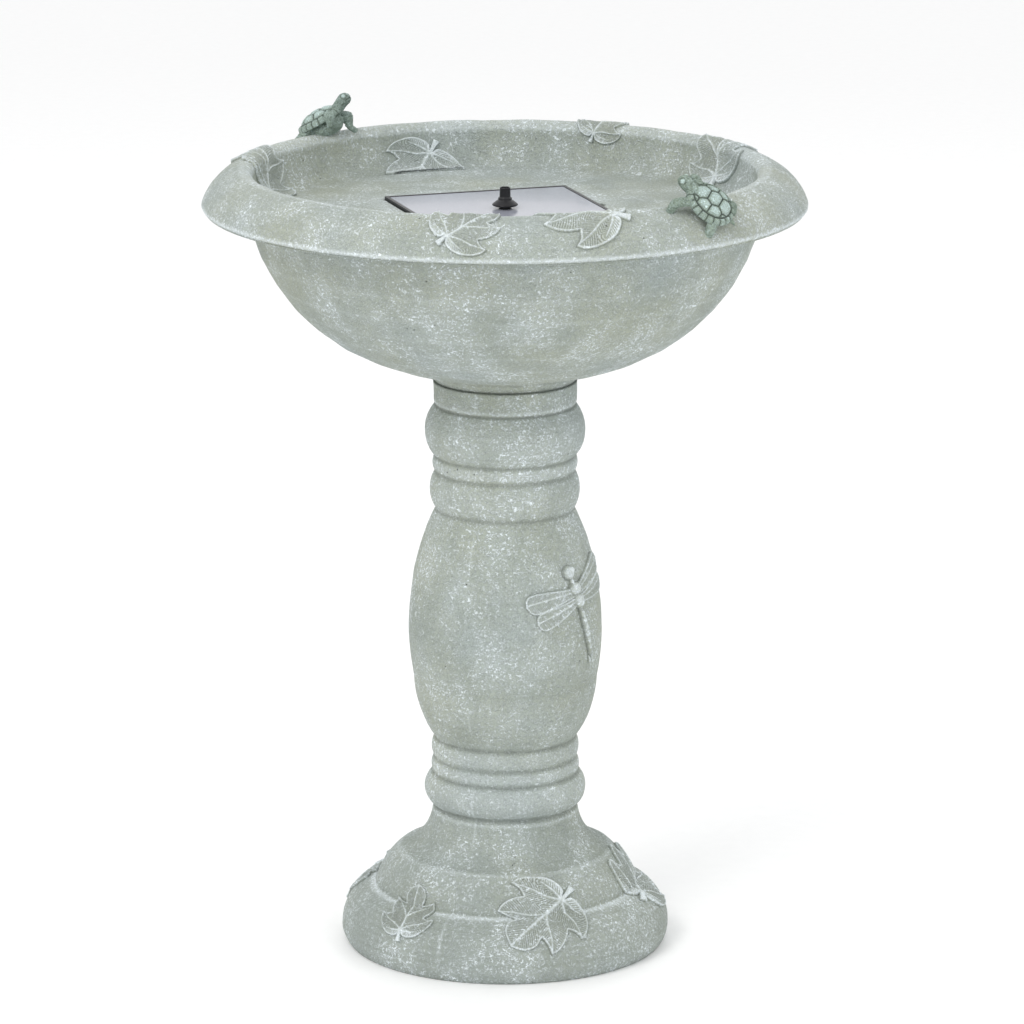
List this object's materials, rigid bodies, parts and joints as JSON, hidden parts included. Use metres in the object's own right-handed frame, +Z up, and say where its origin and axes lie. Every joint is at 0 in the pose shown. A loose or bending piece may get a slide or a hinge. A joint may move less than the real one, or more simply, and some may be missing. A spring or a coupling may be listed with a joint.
{
  "type": "bird bath",
  "caption": "Cast-stone bird bath: turned pedestal, lift-off bowl with a drooping lip, leaf and turtle ornaments, and a lift-out solar pump unit with riser and nozzle.",
  "frame": {"origin": "centre of the pedestal's foot, on the ground", "axes": "+Z up along the pedestal's axis; -Y is the front, where the two front leaves and the dragonfly face"},
  "size_m": [0.5258, 0.5258, 0.7294],
  "materials": {
    "cast_stone": "sage green cast stone with a dry-brushed white wash, matt",
    "turtle_stone": "green cast resin stone with light wash, matt",
    "black_plastic": "black injection-moulded plastic, semi-gloss",
    "panel_glass": "clear tempered cover with a pale reflection, gloss",
    "solar_cell": "dark blue laminated silicon, satin",
    "board": "green fibreglass board, satin",
    "copper": "potted copper windings, satin",
    "steel": "stainless steel, satin",
    "bush_ceramic": "white ceramic, satin",
    "rubber_seal": "black rubber, matt",
    "foam": "open-cell black filter foam, matt",
    "white_plastic": "off-white moulded plastic, satin",
    "magnet": "dark ferrite, matt"
  },
  "bodies": {
    "pedestal": {"pedestal": "cast_stone", "dragonfly": "cast_stone", "base_leaf_1": "cast_stone", "base_leaf_2": "cast_stone", "base_leaf_3": "cast_stone", "base_leaf_4": "cast_stone", "base_leaf_5": "cast_stone", "base_leaf_6": "cast_stone"},
    "bowl": {"bowl_shell": "cast_stone", "basin": "cast_stone", "turtle_left": "turtle_stone", "turtle_right": "turtle_stone", "rim_leaf_1": "cast_stone", "rim_leaf_2": "cast_stone", "rim_leaf_3": "cast_stone", "rim_leaf_4": "cast_stone", "rim_leaf_5": "cast_stone", "rim_leaf_6": "cast_stone"},
    "solar_unit": {"panel_tray": "black_plastic", "backing_board": "board", "solar_cells": "solar_cell", "cover_glass": "panel_glass", "junction_box": "black_plastic", "cable_gland": "black_plastic", "pump_housing": "black_plastic", "flange_screws": "steel", "motor_stator": "copper", "motor_cap": "black_plastic", "shaft_bushes": "bush_ceramic", "impeller_shaft": "steel", "volute_cover": "black_plastic", "seal_ring": "rubber_seal", "cover_screws": "steel"},
    "strainer": {"strainer_cage": "black_plastic", "filter_foam": "foam"},
    "impeller": {"impeller": "white_plastic", "rotor_magnet": "magnet"},
    "riser": {"riser_tube": "black_plastic"},
    "nozzle": {"nozzle_head": "black_plastic", "nozzle_insert": "black_plastic"}
  },
  "joints": [
    {"name": "bowl_lift", "type": "slide", "parent": "pedestal", "child": "bowl", "axis": [0, 0, 1], "range_m": [0, 0.12]},
    {"name": "unit_lift", "type": "slide", "parent": "bowl", "child": "solar_unit", "axis": [0, 0, 1], "range_m": [0, 0.13]},
    {"name": "strainer_pull", "type": "slide", "parent": "solar_unit", "child": "strainer", "axis": [-0.9494, -0.314, 0], "range_m": [0, 0.01]},
    {"name": "impeller_spin", "type": "hinge", "parent": "solar_unit", "child": "impeller", "pos_m": [0.00377, -0.01139, 0.6059], "axis": [0.9494, 0.314, 0], "continuous": true},
    {"name": "riser_pull", "type": "slide", "parent": "solar_unit", "child": "riser", "axis": [0, 0, 1], "range_m": [0, 0.045]},
    {"name": "nozzle_pull", "type": "slide", "parent": "riser", "child": "nozzle", "axis": [0, 0, 1], "range_m": [0, 0.025]}
  ]
}
